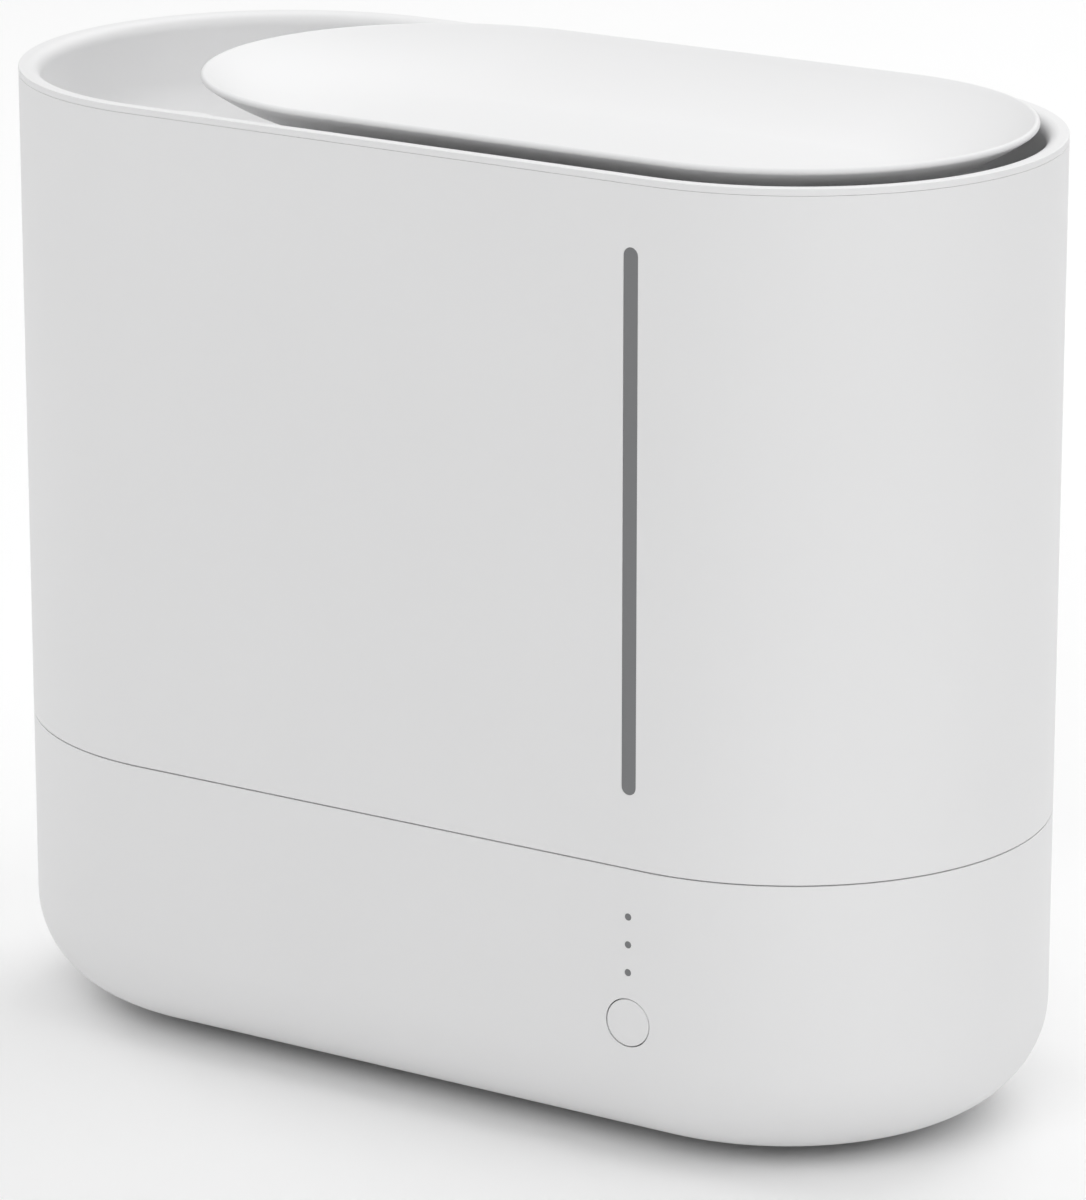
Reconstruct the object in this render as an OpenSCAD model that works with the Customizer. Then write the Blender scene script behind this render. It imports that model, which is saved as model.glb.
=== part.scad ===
// Cool mist humidifier: a top-filling water tank that stands on an electronics base.
// Millimetres, +Z up. The origin is on the ground under the middle of the body,
// the front with the button faces -Y, and the mist leaves at the -X end.

/* [Body] */
// Length of the body, end to end
body_len = 255; // [253:1:262]
// Depth of the body, front to back
body_depth = 120; // [119:1:122]
// Height of the body, from the bottom face of the base to the rim
body_h = 220; // [216:1:226]
// Height of the base, from its bottom face to the seam under the tank
base_h = 67; // [66:0.5:69]
// Height of the rubber feet under the base
foot_h = 3; // [2:0.5:4]
// Radius that rolls the sides of the base into its bottom
bottom_roll = 22.75; // [21:0.25:24]
// Wall of the outer shells
wall = 2.8; // [2.5:0.1:3]
// Width of the visible seam between the base and the tank
seam = 0.3; // [0.3:0.05:0.5]

/* [Top cover and lid] */
// Thickness of the cover's rim, seen above its parting line
rim_t = 1.5; // [1.2:0.1:2]
// Width of the rim, from the outside to the recess wall
rim_w = 5; // [4.8:0.1:5.2]
// Rounding of the rim's inner edge
rim_round = 3; // [2:0.25:3]
// Depth of the recess below the rim
recess_depth = 24; // [23.5:0.5:24.5]
// Radius where the recess wall meets its floor
recess_fillet = 9.5; // [9:0.25:9.5]
// Outer radius of the lid's rounded ends
lid_r = 53.6; // [53.4:0.1:53.8]
// X of the centre of the lid's left end
lid_left_x = -24.3; // [-26:0.1:-22]
// Height of the lid's lip above the rim
lid_proud = 2.8; // [2:0.1:4]
// Depth of the lid's dish
dish_depth = 10.5; // [10:0.25:11]
// Radius that curves the dish up to its lip
dish_curve = 55; // [52:1:58]
// Wall of the lid's dish
dish_t = 1.6; // [1.5:0.1:1.8]
// Radius of the rounded ends of the fill opening
fill_r = 34.1; // [33.5:0.1:34.5]

/* [Water and mist] */
// X of the mist chimney
chimney_x = -100; // [-100.4:0.1:-99.6]
// Radius of the chimney's bore
chimney_r = 10; // [9.5:0.1:10.1]
// X of the misting well, which holds the ultrasonic disc
well_x = -100; // [-101:0.5:-99]
// Radius of the misting well
well_r = 19; // [18:0.5:19]
// Travel of the tank's valve, open to shut
valve_travel = 3.9; // [3.9:0.05:4.1]
// X of the float
float_x = 45; // [44:0.5:47]
// Radius of the float's guide post
float_post_r = 3; // [2.8:0.1:3]

/* [Front panel] */
// X of the column of front details
panel_x = 63.8; // [63:0.1:65]
// Height of the button's centre above the base's bottom face
button_h = 31.55; // [30:0.25:33]
// Radius of the button's cap
button_r = 5.36; // [5.2:0.01:5.4]
// Travel of the button
button_travel = 0.5; // [0.3:0.05:0.5]
// Height of the lowest indicator above the base's bottom face
dot_h = 43.2; // [43:0.1:44]
// Pitch of the three indicators
dot_pitch = 6.4; // [6:0.1:6.4]
// Radius of an indicator
dot_r = 0.82; // [0.7:0.02:0.9]
// Width of the water level window
window_w = 3.6; // [3:0.1:4]
// Bottom of the window above the base's bottom face
window_bottom = 83.8; // [80:0.1:90]
// Top of the window above the base's bottom face
window_top = 204.9; // [195:0.1:206]

/* [Fan] */
// X of the fan's axis
fan_x = -28; // [-29:0.5:-27]
// Side of the square blower
fan_side = 51; // [50:0.5:52]
// Thickness of the blower
fan_t = 15; // [14:0.5:16]
// Number of blades on the impeller
fan_blades = 18; // [9:1:24]

/* [Hidden] */
$fn = 72;

// Plan of the body: an obround with its rounded ends centred at +half and -half
end_r = body_depth / 2;
half = body_len / 2 - end_r;
inner_r = end_r - wall;

// Levels, upwards
base_z = foot_h;
seam_z = base_z + base_h;
rim_z = base_z + body_h;
parting_z = rim_z - rim_t;
deck_t = 2.5;
deck_z = seam_z - 8;            // underside of the water tray's deck
deck_top = deck_z + deck_t;
tank_rest_z = seam_z + 3;       // where the tank's floor rests on the tray's rim
floor_t = 2.8;
floor_top = tank_rest_z + floor_t;
well_floor_z = deck_z - 16;
hood_h = 15;
hood_top = tank_rest_z + hood_h + floor_t;

// Base
hatch_r = 34.3;                 // opening in the base's bottom face
cover_r = 34;
cover_t = 2.5;
cover_top = base_z + cover_t;
hatch_ledge_r = 30;
hatch_ledge_t = 2.8;
tray_ledge_w = 2.4;
tray_ledge_t = 1.2;
foot_r = 7;
foot_recess = 0.8;
feet = [for (x = [-62, 62], y = [-24, 24]) [x, y]];
post_r = 4;
posts = [for (x = [-84, 84], y = [-14, 14]) [x, y]];
screw_r = 1.5;
screw_head_r = 2.8;
screw_head_t = 1.6;
clamp_pcr = 14.6;               // radius of the clamp's screw circle
clamp_angles = [90, 210, 330];

// Fan
fan_z = base_z + 7;
fan_volute_r = 21;
fan_wall = 1.5;
fan_screw_places = [for (p = [[1, 1], [1, -1], [-1, 1]]) p * (fan_side / 2 - 3)];
duct_x = -68;                   // middle of the duct's upright part
duct_w = 12;
duct_depth = 26;
duct_wall = 1.4;
riser_top = tank_rest_z - 1;
bearing_r = 2.6;
shaft_r = 1;
hub_r = 11;
rotor_r = 19.5;

// Boards
board = [56, 62, 1.6];          // main board, X, Y, Z
board_x = 20;
board_z = base_z + 9;
sockets = [[20, -24], [20, -8], [20, 20], [44, 18]];
board_holes = [for (x = [4, 52], y = [-26, 26]) [board_x + x, y]];
panel_board_y = -48;            // front face of the control board
board_t = 1.6;
panel_board_w = 24;
button_z = base_z + button_h;
dots_z = [for (i = [0:2]) base_z + dot_h + i * dot_pitch];
panel_posts = [[panel_x - 8, button_z + 9], [panel_x + 8, button_z + 9]];
switch_front_y = panel_board_y - 3.5;
plunger_out = 1.2;              // the switch's plunger, out of and into its body
plunger_depth = 1.4;
jack_x = 45;
jack_z = base_z + 31;

// Valve
seat_z = floor_top + 1.2;       // sealing face of the valve seat
valve_r = 4.5;
stem_r = 1.8;
seal_r = 7;
seal_t = 1.6;
cage_r = 10.5;
cage_top = seat_z + 20;

// Mist outlet
outlet_lip_w = 1.9;
outlet_top = rim_z - 17.8;

// Lid
lid_half = (half - lid_left_x) / 2;
lid_x = (half + lid_left_x) / 2;
lip_r = dish_t / 2;
lip_z = rim_z + lid_proud - lip_r;
dish_edge_r = lid_r - lip_r;
dish_lean = acos(1 - dish_depth / dish_curve);
dish_flat = dish_edge_r - dish_curve * sin(dish_lean);
dish_centre_z = lip_z - dish_depth + dish_curve;
skirt_r = fill_r - 1;
neck_top = rim_z - 14;

// Sweeps a profile round an obround: x is the distance out from the middle line, y is the height
module round_plan(half_len = half, x = 0) {
  for (turn = [0, 180]) translate([x, 0, 0]) rotate([0, 0, turn]) {
    translate([half_len, 0, 0]) rotate([0, 0, -90]) rotate_extrude(angle = 180) children();
    translate([-half_len, 0, 0]) rotate([90, 0, 90]) linear_extrude(2 * half_len) children();
  }
}

// Rectangle with its lower outer corner rolled in
module rolled_profile(r, z0, z1, roll) {
  difference() {
    translate([0, z0]) square([r, z1 - z0]);
    difference() {
      translate([r - roll, z0 - 1]) square([roll + 1, roll + 1]);
      translate([r - roll, z0 + roll]) circle(r = roll);
    }
  }
}

// Rectangle from radius a to b and from height z0 to z1
module band(a, b, z0, z1) {
  translate([a, z0]) square([b - a, z1 - z0]);
}

module tube(r_out, r_in, z0, z1) {
  difference() {
    translate([0, 0, z0]) cylinder(r = r_out, h = z1 - z0);
    translate([0, 0, z0 - 1]) cylinder(r = r_in, h = z1 - z0 + 2);
  }
}

module disc(r, z0, z1) {
  translate([0, 0, z0]) cylinder(r = r, h = z1 - z0);
}

module block(x0, x1, y0, y1, z0, z1) {
  translate([x0, y0, z0]) cube([x1 - x0, y1 - y0, z1 - z0]);
}

// A round bar along Y
module bar_y(x, z, r, y0, y1) {
  translate([x, y0, z]) rotate([-90, 0, 0]) cylinder(r = r, h = y1 - y0);
}

// Screw that points up, with its head's underside at z
module screw_up(z, len) {
  disc(screw_head_r, z - screw_head_t, z);
  disc(screw_r, z - 0.01, z + len);
}

// Screw that points down, with its head's underside at z
module screw_down(z, len) {
  disc(screw_head_r, z, z + screw_head_t);
  disc(screw_r, z - len, z + 0.01);
}

// Round wire swept along a path whose runs are never parallel to lean
module sweep(path, r, sides, lean = [0.31, 0.17, 1]) {
  last = len(path) - 1;
  rings = [for (i = [0:last])
    let (along = path[min(i + 1, last)] - path[max(i - 1, 0)],
         across = cross(along, lean) / norm(cross(along, lean)),
         up = cross(across, along) / norm(along))
    for (k = [0:sides - 1]) path[i] + r * (cos(360 * k / sides) * across + sin(360 * k / sides) * up)];
  walls = [for (i = [0:last - 1]) for (k = [0:sides - 1])
    let (here = i * sides + k, beside = i * sides + (k + 1) % sides)
    [here, beside, beside + sides, here + sides]];
  start_cap = [for (k = [0:sides - 1]) sides - 1 - k];
  end_cap = [for (k = [0:sides - 1]) last * sides + k];
  polyhedron(rings, concat([start_cap], walls, [end_cap]));
}

// Smooth curve through a few points: the point a share t of the way from b to c
function curve_point(a, b, c, d, t) =
  b + (c - a) * t / 2 + (2 * a - 5 * b + 4 * c - d) * t * t / 2 + (3 * b - 3 * c + d - a) * pow(t, 3) / 2;

function curve(p, steps = 5) = concat(
  [for (i = [0:len(p) - 2]) for (k = [0:steps - 1])
    curve_point(p[max(i - 1, 0)], p[i], p[i + 1], p[min(i + 2, len(p) - 1)], k / steps)],
  [p[len(p) - 1]]);

module wire(points, r) {
  sweep(curve(points), r, 8);
}

// ---- Base ----

// Outer shell of the base, with ledges for the tray above and the bottom cover below
module base_housing() {
  color("white") difference() {
    union() {
      round_plan() difference() {
        rolled_profile(end_r, base_z, seam_z - seam / 2, bottom_roll);
        rolled_profile(inner_r, base_z + wall, seam_z + 1, bottom_roll - wall);
      }
      round_plan() band(hatch_ledge_r, end_r - bottom_roll, cover_top + 0.1, cover_top + hatch_ledge_t);
      round_plan() band(inner_r - tray_ledge_w, inner_r + 0.5, deck_z - tray_ledge_t, deck_z);
      for (p = panel_posts) bar_y(p[0], p[1], 2.6, -inner_r - 0.5, panel_board_y);
    }
    round_plan() band(0, hatch_r, 0, cover_top + 0.1);
    round_plan() band(0, hatch_ledge_r, cover_top, cover_top + 10);
    bar_y(panel_x, button_z, button_r + 0.26, -end_r - 1, -inner_r + 1);
    for (z = dots_z) bar_y(panel_x, z, dot_r, -end_r - 1, -inner_r + 1);
    for (p = panel_posts) bar_y(p[0], p[1], 1, -inner_r + 1, panel_board_y + 1);
    bar_y(jack_x, jack_z, 5.2, inner_r - 1, end_r + 1);
  }
}

// Hatch that closes the base from below, with the fan's intake slots
module bottom_cover() {
  color("white") difference() {
    union() {
      round_plan() band(0, cover_r, base_z, cover_top);
      for (p = board_holes) translate([p[0], p[1], 0]) disc(3, cover_top - 0.5, board_z);
      difference() {
        block(fan_x - 25, fan_x + 25, -25, 25, cover_top - 0.5, cover_top + 3.4);
        block(fan_x - 23.6, fan_x + 23.6, -23.6, 23.6, cover_top - 1, cover_top + 4);
      }
    }
    for (i = [-4:4]) block(fan_x - 20, fan_x + 20, i * 4.6 - 1.2, i * 4.6 + 1.2, 0, cover_top + 0.5);
    for (p = feet) translate([p[0], p[1], 0]) disc(foot_r, base_z - 1, base_z + foot_recess);
    for (p = posts) translate([p[0], p[1], 0]) {
      disc(screw_r + 0.1, 0, cover_top + 1);
      disc(screw_head_r + 0.2, base_z - 1, base_z + screw_head_t - 0.2);
    }
    for (p = board_holes) translate([p[0], p[1], 0]) disc(1.1, cover_top + 1, board_z + 1);
  }
}

module bottom_screws() {
  color("silver") for (p = posts) translate([p[0], p[1], 0])
    screw_up(base_z + screw_head_t - 0.2, 12);
}

module rubber_feet() {
  color("dimgray") for (p = feet) translate([p[0], p[1], 0])
    rotate_extrude() difference() {
      band(0, foot_r, 0, base_z + foot_recess);
      difference() {
        band(foot_r - 1, foot_r + 1, -1, 1);
        translate([foot_r - 1, 1]) circle(r = 1);
      }
    }
}

// Foam pad that keeps dust out of the fan
module air_filter() {
  color("gray") block(fan_x - 23.4, fan_x + 23.4, -23.4, 23.4, cover_top, cover_top + 3);
}

// Tray that the tank stands on. It holds the misting well, the float well and the valve pin
module water_tray() {
  color("whitesmoke") difference() {
    union() {
      round_plan() band(0, inner_r - 0.2, deck_z, deck_top);
      round_plan() band(inner_r - 2.4, inner_r - 0.5, deck_top - 0.5, tank_rest_z);
      translate([well_x, 0, 0]) disc(well_r + 2, well_floor_z - 2.5, deck_z + 1);
      translate([float_x, 0, 0]) disc(15, deck_z - 14, deck_z + 1);
      for (p = posts) translate([p[0], p[1], 0]) disc(post_r, cover_top, deck_z + 1);
      block(duct_x - duct_w / 2, duct_x + duct_w / 2, -duct_depth / 2, duct_depth / 2,
            deck_z + 0.5, riser_top);
    }
    translate([well_x, 0, 0]) {
      disc(well_r, well_floor_z, deck_top + 1);
      disc(8, well_floor_z - 4, deck_top);
      disc(11.5, well_floor_z - 4, well_floor_z - 1);
      for (a = clamp_angles) rotate([0, 0, a]) translate([clamp_pcr, 0, 0])
        disc(0.9, well_floor_z - 4, well_floor_z - 0.7);
    }
    translate([float_x, 0, 0]) disc(13, deck_z - 12, deck_top + 1);
    block(duct_x - duct_w / 2 + duct_wall, duct_x + duct_w / 2 - duct_wall,
          -duct_depth / 2 + duct_wall, duct_depth / 2 - duct_wall, deck_z - 1, riser_top + 1);
    for (p = posts) translate([p[0], p[1], 0]) disc(screw_r, cover_top - 1, cover_top + 14);
  }
  color("whitesmoke") translate([float_x, 0, 0]) disc(float_post_r, deck_z - 13, tank_rest_z - 1);
  color("whitesmoke") disc(stem_r, deck_top - 0.5, seam_z);
}

// Piezo disc that turns water into mist, clamped in a rubber ring under the well
module transducer_disc() {
  color("gold") translate([well_x, 0, 0]) disc(10, well_floor_z - 2.6, well_floor_z - 1.6);
}

module transducer_gasket() {
  color("dimgray") translate([well_x, 0, 0]) rotate_extrude() difference() {
    band(8, 11.4, well_floor_z - 3.4, well_floor_z - 1);
    band(7, 10, well_floor_z - 2.6, well_floor_z - 1.6);
  }
}

module transducer_clamp() {
  color("silver") translate([well_x, 0, 0]) difference() {
    disc(17, well_floor_z - 5, well_floor_z - 3.4);
    disc(8, well_floor_z - 6, well_floor_z - 3);
    for (a = clamp_angles) rotate([0, 0, a]) translate([clamp_pcr, 0, 0])
      disc(1.6, well_floor_z - 6, well_floor_z - 3);
  }
}

module transducer_screws() {
  color("silver") translate([well_x, 0, 0])
    for (a = clamp_angles) rotate([0, 0, a]) translate([clamp_pcr, 0, 0]) {
      disc(2.4, well_floor_z - 6.4, well_floor_z - 5);
      disc(0.9, well_floor_z - 5.01, well_floor_z - 1);
    }
}

// Split ring that keeps the float on its post
module float_clip() {
  color("whitesmoke") translate([float_x, 0, 0]) difference() {
    tube(4.6, float_post_r, tank_rest_z - 2.8, tank_rest_z - 1.4);
    block(0, 6, -0.6, 0.6, tank_rest_z - 4, tank_rest_z);
  }
}

module float_ring() {
  color("whitesmoke") translate([float_x, 0, 0]) difference() {
    disc(11, deck_z - 11.6, deck_z - 1.6);
    disc(float_post_r + 0.08, deck_z - 13, deck_z);
    tube(8, 5, deck_z - 13, deck_z - 8.6);
  }
}

module float_magnet() {
  color("dimgray") translate([float_x, 0, 0]) tube(8, 5, deck_z - 11.6, deck_z - 8.6);
}

// ---- Fan ----

// Blower with its intake below and its outlet towards the duct
module fan_housing() {
  s = fan_side / 2;
  color("dimgray") translate([fan_x, 0, fan_z]) difference() {
    block(-s, s, -s, s, 0, fan_t - fan_wall);
    disc(fan_volute_r, fan_wall, fan_t);
    disc(15, -1, fan_wall + 1);
    block(-s - 1, 0, -fan_volute_r, -3, fan_wall, fan_t);
    for (p = fan_screw_places) translate([p[0], p[1], 0]) disc(screw_r, 3, fan_t);
  }
}

module fan_lid() {
  s = fan_side / 2;
  color("dimgray") translate([fan_x, 0, fan_z]) difference() {
    union() {
      block(-s, s, -s, s, fan_t - fan_wall, fan_t);
      disc(bearing_r + 1.2, fan_t - 9, fan_t - fan_wall + 0.5);
    }
    disc(bearing_r, fan_t - 10, fan_t - 0.8);
    for (p = fan_screw_places) translate([p[0], p[1], 0]) disc(screw_r + 0.2, 3, fan_t + 1);
  }
}

module fan_screws() {
  color("silver") for (p = fan_screw_places) translate([fan_x + p[0], p[1], 0])
    screw_down(fan_z + fan_t, 8);
}

// Plain sleeve bearing pressed into the lid's boss
module fan_bearing() {
  color("goldenrod") translate([fan_x, 0, fan_z]) tube(bearing_r, shaft_r + 0.04, fan_t - 9, fan_t - 2.4);
}

// Laminated core with its four wound poles, fixed round the bearing boss
module fan_stator() {
  color("peru") translate([fan_x, 0, fan_z]) difference() {
    union() {
      disc(5.2, fan_t - 7.5, fan_t - 3.5);
      for (a = [0, 90, 180, 270]) rotate([0, 0, a]) {
        block(0, 7, -1.2, 1.2, fan_t - 6.5, fan_t - 4.5);
        block(6.4, 8.2, -3.6, 3.6, fan_t - 7.2, fan_t - 3.8);
      }
    }
    disc(bearing_r + 1.2, 0, fan_t);
  }
}

// Impeller: a hub cup over the stator, a back plate and a ring of blades
module fan_rotor() {
  color("dimgray") translate([fan_x, 0, fan_z]) {
    difference() {
      union() {
        disc(hub_r, 2.8, fan_t - 3);
        disc(rotor_r, 2.8, 4.2);
        for (i = [0:fan_blades - 1]) rotate([0, 0, i * 360 / fan_blades])
          translate([hub_r + 1.5, 0, 0]) rotate([0, 0, 35])
            block(-1, 8.2, -0.4, 0.4, 4, fan_t - 2.5);
      }
      disc(hub_r - 1.2, 4.4, fan_t);
      disc(shaft_r, 0, fan_t);
      difference() {
        disc(rotor_r + 6, 2, fan_t);
        disc(rotor_r, 1, fan_t + 1);
      }
      for (i = [0:5]) rotate([0, 0, i * 60]) translate([14.6, 0, 0]) disc(2.4, 2, 4.3);
    }
  }
}

module fan_shaft() {
  color("silver") translate([fan_x, 0, fan_z]) disc(shaft_r, 2.8, fan_t - 2.6);
}

// Elbow that carries the fan's air up to the riser in the tray
module air_duct() {
  x0 = duct_x - duct_w / 2;
  x1 = duct_x + duct_w / 2;
  y = duct_depth / 2;
  fan_left = fan_x - fan_side / 2;
  color("whitesmoke") difference() {
    union() {
      block(x0, x1, -y, y, fan_z, deck_z);
      block(x0, fan_left, -fan_volute_r - duct_wall, -3 + duct_wall, fan_z, fan_z + fan_t);
    }
    block(x0 + duct_wall, x1 - duct_wall, -y + duct_wall, y - duct_wall, fan_z + duct_wall, deck_z + 1);
    block(x0 + duct_wall, fan_left + 1, -fan_volute_r, -3, fan_z + duct_wall, fan_z + fan_t - duct_wall);
  }
}

// ---- Electronics ----

module main_board() {
  color("darkgreen") difference() {
    translate([board_x, -board[1] / 2, board_z]) cube(board);
    for (p = board_holes) translate([p[0], p[1], 0]) disc(1.7, board_z - 1, board_z + 3);
  }
}

module board_screws() {
  color("silver") for (p = board_holes) translate([p[0], p[1], 0]) {
    disc(2.6, board_z + board[2], board_z + board[2] + 1.4);
    disc(1.1, board_z - 5, board_z + board[2] + 0.01);
  }
}

// Finned aluminium block that cools the disc's driver
module heat_sink() {
  top = board_z + board[2];
  color("silver") {
    block(board_x + 32, board_x + 48, -20, 6, top, top + 3);
    for (i = [0:4]) block(board_x + 32 + i * 3.6, board_x + 33.6 + i * 3.6, -20, 6, top + 2.5, top + 16);
  }
}

module board_capacitors() {
  top = board_z + board[2];
  color("black") for (p = [[8, -14], [8, 0]]) translate([board_x + p[0], p[1], 0])
    disc(5, top, top + 14);
}

// Toroidal choke that stands on the board
module board_coil() {
  color("peru") translate([board_x + 20, 8, board_z + board[2] + 9.1]) rotate([90, 0, 0])
    rotate_extrude() translate([6, 0]) circle(r = 3);
}

module board_connectors() {
  top = board_z + board[2];
  color("ivory") for (p = sockets) translate([board_x + p[0], p[1], 0]) difference() {
    block(-4, 4, -5, 5, top, top + 7);
    block(-3, 3, -4, 4, top + 2, top + 8);
  }
}

// Reed switch that the float's magnet closes
module reed_switch() {
  color("lightgray") bar_y(float_x - 10, deck_z - 18, 1.6, -8, 8);
}

// Upright board behind the front wall. It carries the switch and the three lights
module control_board() {
  color("darkgreen") difference() {
    block(panel_x - panel_board_w / 2, panel_x + panel_board_w / 2,
          panel_board_y, panel_board_y + board_t, button_z - 9, deck_z - 2);
    for (p = panel_posts) bar_y(p[0], p[1], 1.3, panel_board_y - 1, panel_board_y + board_t + 1);
  }
}

module control_screws() {
  y = panel_board_y + board_t;
  color("silver") for (p = panel_posts) {
    bar_y(p[0], p[1], 2.4, y, y + 1.4);
    bar_y(p[0], p[1], 1, y - 7, y + 0.01);
  }
}

module tact_switch() {
  color("black") difference() {
    block(panel_x - 3, panel_x + 3, switch_front_y, panel_board_y, button_z - 3, button_z + 3);
    bar_y(panel_x, button_z, 1.9, switch_front_y - 1, switch_front_y + plunger_depth + button_travel + 0.3);
  }
}

module status_leds() {
  color("lightyellow") for (z = dots_z)
    block(panel_x - 1, panel_x + 1, panel_board_y - 1.2, panel_board_y, z - 1.4, z + 1.4);
}

// Light pipes that carry each lamp to its dot on the front
module indicator_lenses() {
  color("gray") for (z = dots_z) {
    bar_y(panel_x, z, dot_r, -end_r, -inner_r + 0.2);
    bar_y(panel_x, z, dot_r + 0.15, -inner_r, panel_board_y - 1.3);
  }
}

// Power inlet in the back wall, with its centre contact
module dc_jack() {
  color("black") {
    difference() {
      union() {
        block(jack_x - 5.5, jack_x + 5.5, inner_r - 13, inner_r, jack_z - 5.5, jack_z + 5.5);
        bar_y(jack_x, jack_z, 5, inner_r - 1, end_r - 0.4);
      }
      bar_y(jack_x, jack_z, 3, inner_r - 8, end_r + 1);
    }
    bar_y(jack_x, jack_z, 1, inner_r - 8.5, end_r - 1.5);
  }
}

module fan_lead() {
  color("black") wire([[fan_x + 24, 12, fan_z + fan_t + 1.2], [fan_x + 34, 12, fan_z + fan_t + 6],
                       [board_x + 10, 22, board_z + 18], [board_x + 20, 20, board_z + 9]], 1.1);
}

module disc_lead() {
  z = well_floor_z - 3.8;
  color("firebrick") wire([[well_x, 0, z], [well_x + 3, 2, z - 5], [well_x + 4, 22, z - 6],
                           [duct_x + 8, 26, z - 6], [fan_x, 30, z - 7], [board_x - 6, 20, z - 8],
                           [board_x + 12, -6, z - 14], [board_x + 20, -8, board_z + 9]], 1);
}

module power_lead() {
  color("black") wire([[jack_x, inner_r - 14, jack_z], [jack_x + 6, inner_r - 22, jack_z - 4],
                       [board_x + 42, 30, board_z + 15], [board_x + 44, 18, board_z + 9]], 1.1);
}

module control_lead() {
  y = panel_board_y + board_t + 0.8;
  color("gray") wire([[panel_x, y, button_z - 5], [panel_x - 2, y + 5, button_z - 7],
                      [board_x + 26, -30, board_z + 12], [board_x + 20, -24, board_z + 9]], 1.1);
}

// ---- Button ----

module power_button() {
  color("white") {
    bar_y(panel_x, button_z, button_r, -end_r, -inner_r + 0.9);
    bar_y(panel_x, button_z, 7, -inner_r + 0.4, -inner_r + 1.6);
    bar_y(panel_x, button_z, 2.4, -inner_r + 1.5, switch_front_y - plunger_out);
  }
}

module switch_plunger() {
  color("black") bar_y(panel_x, button_z, 1.7, switch_front_y - plunger_out, switch_front_y + plunger_depth);
}

// ---- Tank ----

// Outer wall of the tank, with the slot for its level window
module tank_shell() {
  color("white") difference() {
    round_plan() difference() {
      band(inner_r, end_r, seam_z + seam / 2, parting_z);
      band(end_r - 0.4, end_r + 1, parting_z - 0.3, parting_z + 1);
    }
    window_solid(-end_r - 1, -inner_r + 1);
  }
}

module window_solid(y0, y1) {
  r = window_w / 2;
  z0 = base_z + window_bottom + r;
  z1 = base_z + window_top - r;
  for (z = [z0, z1]) bar_y(panel_x, z, r, y0, y1);
  block(panel_x - r, panel_x + r, y0, y1, z0, z1);
}

// Clear strip through the front wall that shows the water level
module level_window() {
  color("gray") window_solid(-end_r, -inner_r);
}

// Welded floor of the tank, raised into a hood over the misting well
module tank_floor() {
  color("white") difference() {
    union() {
      round_plan() band(0, inner_r, tank_rest_z, floor_top);
      round_plan(14, well_x + 14) band(0, well_r + 4, floor_top - 0.5, hood_top);
    }
    round_plan(14, well_x + 14) band(0, well_r + 1.5, tank_rest_z - 1, hood_top - floor_t);
    translate([chimney_x, 0, 0]) disc(chimney_r, hood_top - floor_t - 1, hood_top + 1);
    disc(6.2, tank_rest_z - 1, floor_top + 1);
  }
}

// Tube that carries the mist up through the water
module mist_chimney() {
  color("white") translate([chimney_x, 0, 0])
    tube(chimney_r + 2, chimney_r, hood_top, rim_z - recess_depth - 6);
}

module chimney_seal() {
  z = rim_z - recess_depth - 6;
  color("dimgray") translate([chimney_x, 0, 0]) tube(chimney_r + 1.9, chimney_r, z, z + 3.2);
}

// ---- Valve ----

module valve_seat() {
  color("whitesmoke") {
    tube(6.2, valve_r, tank_rest_z - 1, seat_z);
    tube(cage_r, 6, floor_top, seat_z);
  }
}

// Cage that guides the plunger and holds the top of its spring
module valve_cage() {
  color("whitesmoke") difference() {
    disc(cage_r, seat_z, cage_top);
    disc(cage_r - 1.6, seat_z - 1, cage_top - 1.8);
    disc(stem_r + 0.08, seat_z, cage_top + 1);
    for (a = [0, 90]) rotate([0, 0, a]) block(-20, 20, -4, 4, seat_z + 1.5, cage_top - 4);
  }
}

// Stem and head of the valve, shown open with the tank on its base
module valve_plunger() {
  z = seat_z + valve_travel + seal_t + 0.1;
  color("white") {
    disc(stem_r, seam_z, cage_top + 3);
    disc(seal_r - 0.5, z, z + 1.6);
  }
}

module valve_seal() {
  z = seat_z + valve_travel + 0.1;
  color("dimgray") tube(seal_r, stem_r, z, z + seal_t);
}

module valve_spring() {
  turns = 5;
  steps = 14 * turns;
  wire_r = 0.4;
  z0 = seat_z + valve_travel + seal_t + 1.7 + wire_r;
  z1 = cage_top - 1.8 - wire_r;
  coil = [for (i = [0:steps]) let (turn = 360 * turns * i / steps)
    [4.4 * cos(turn), 4.4 * sin(turn), z0 + (z1 - z0) * i / steps]];
  color("silver") sweep(coil, wire_r, 6);
}

// ---- Top cover and lid ----

// Rim and recess that close the tank, with the fill neck and the mist outlet
module top_cover() {
  floor_z = rim_z - recess_depth;
  skirt = 1.8;
  cover_wall_r = end_r - rim_w;
  color("white") difference() {
    union() {
      round_plan() difference() {
        union() {
          rolled_profile(cover_wall_r + skirt, floor_z - 2.4, rim_z, recess_fillet + skirt);
          band(cover_wall_r, end_r, parting_z, rim_z);
        }
        rolled_profile(cover_wall_r, floor_z, rim_z + 1, recess_fillet);
        difference() {
          band(cover_wall_r - 1, cover_wall_r + rim_round, rim_z - rim_round, rim_z + 1);
          translate([cover_wall_r + rim_round, rim_z - rim_round]) circle(r = rim_round);
        }
      }
      round_plan(lid_half, lid_x) band(fill_r - 1, fill_r + 2, floor_z - 2.4, neck_top);
      translate([chimney_x, 0, 0]) tube(chimney_r + 4.4, chimney_r + 2.6, floor_z - 11, floor_z - 1);
      translate([chimney_x, 0, 0]) disc(chimney_r + outlet_lip_w, floor_z - 1, outlet_top);
    }
    round_plan(lid_half, lid_x) band(0, fill_r, floor_z - 5, neck_top + 1);
    translate([chimney_x, 0, 0]) disc(chimney_r, floor_z - 5, outlet_top + 1);
  }
}

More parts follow.
